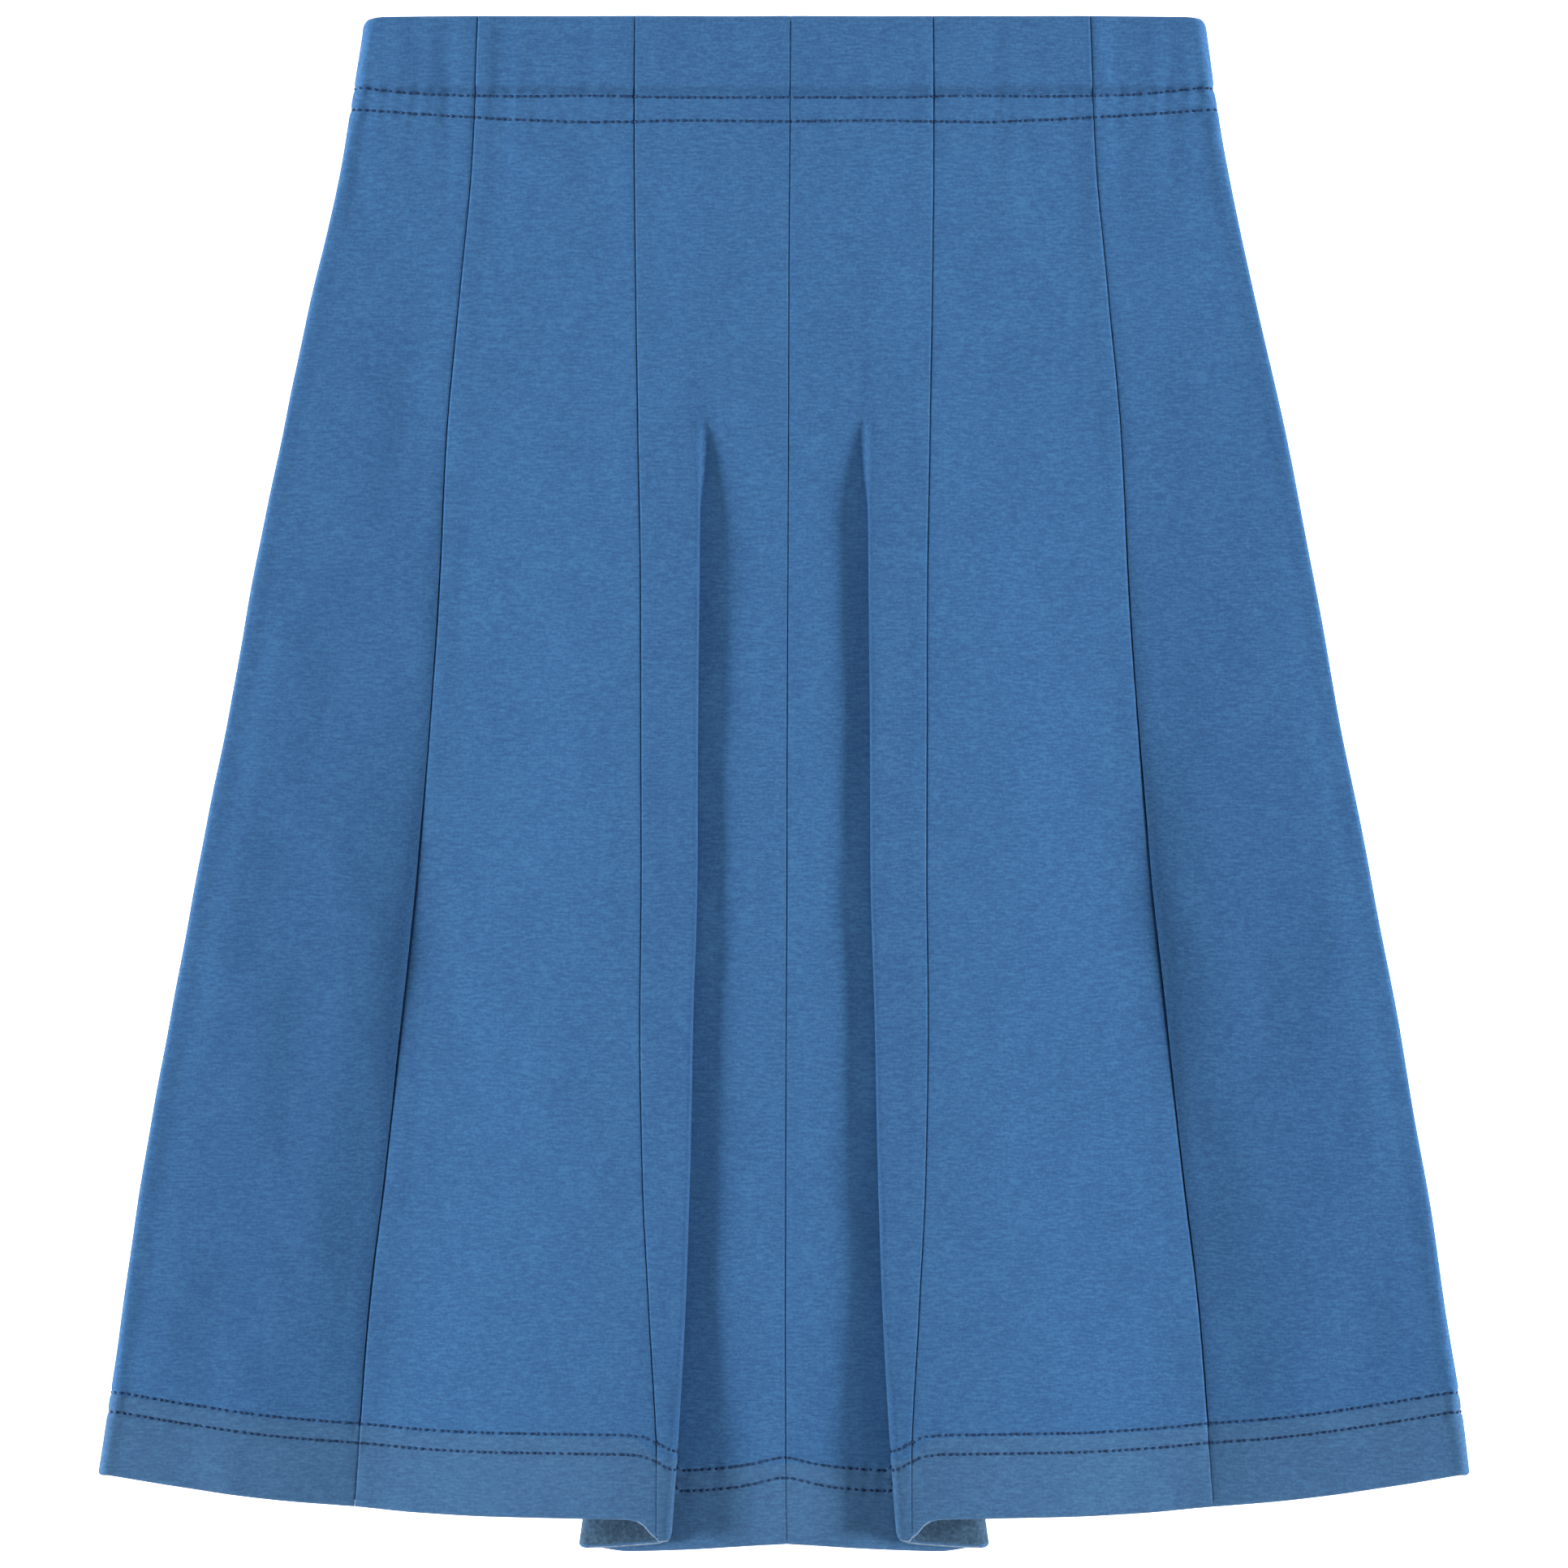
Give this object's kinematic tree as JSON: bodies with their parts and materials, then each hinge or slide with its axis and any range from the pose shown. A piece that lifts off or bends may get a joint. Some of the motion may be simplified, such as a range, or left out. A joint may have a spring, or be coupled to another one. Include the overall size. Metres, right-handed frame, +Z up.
{
  "type": "gored jersey skirt laid flat",
  "caption": "Knee-length A-line skirt in smooth sweat jersey, laid flat: gored front and back, elastic waist in a stitched casing, turned-up hem and an inverted pleat at the centre front.",
  "frame": {"origin": "middle of the skirt's outline, on the surface that it lies on", "axes": "+Y from the hem to the waist, +X to the right as seen from above, +Z up from the surface, out of the front"},
  "size_m": [0.4212, 0.4724, 0.0147],
  "materials": {
    "jersey": "mid-blue cotton sweat jersey, smooth face with a soft nap, matt"
  },
  "bodies": {
    "root": {"front_centre_left": "jersey", "front_middle_left": "jersey", "front_side_left": "jersey", "back_centre_left": "jersey", "back_middle_left": "jersey", "back_side_left": "jersey", "front_centre_right": "jersey", "front_middle_right": "jersey", "front_side_right": "jersey", "back_centre_right": "jersey", "back_middle_right": "jersey", "back_side_right": "jersey"}
  },
  "joints": []
}
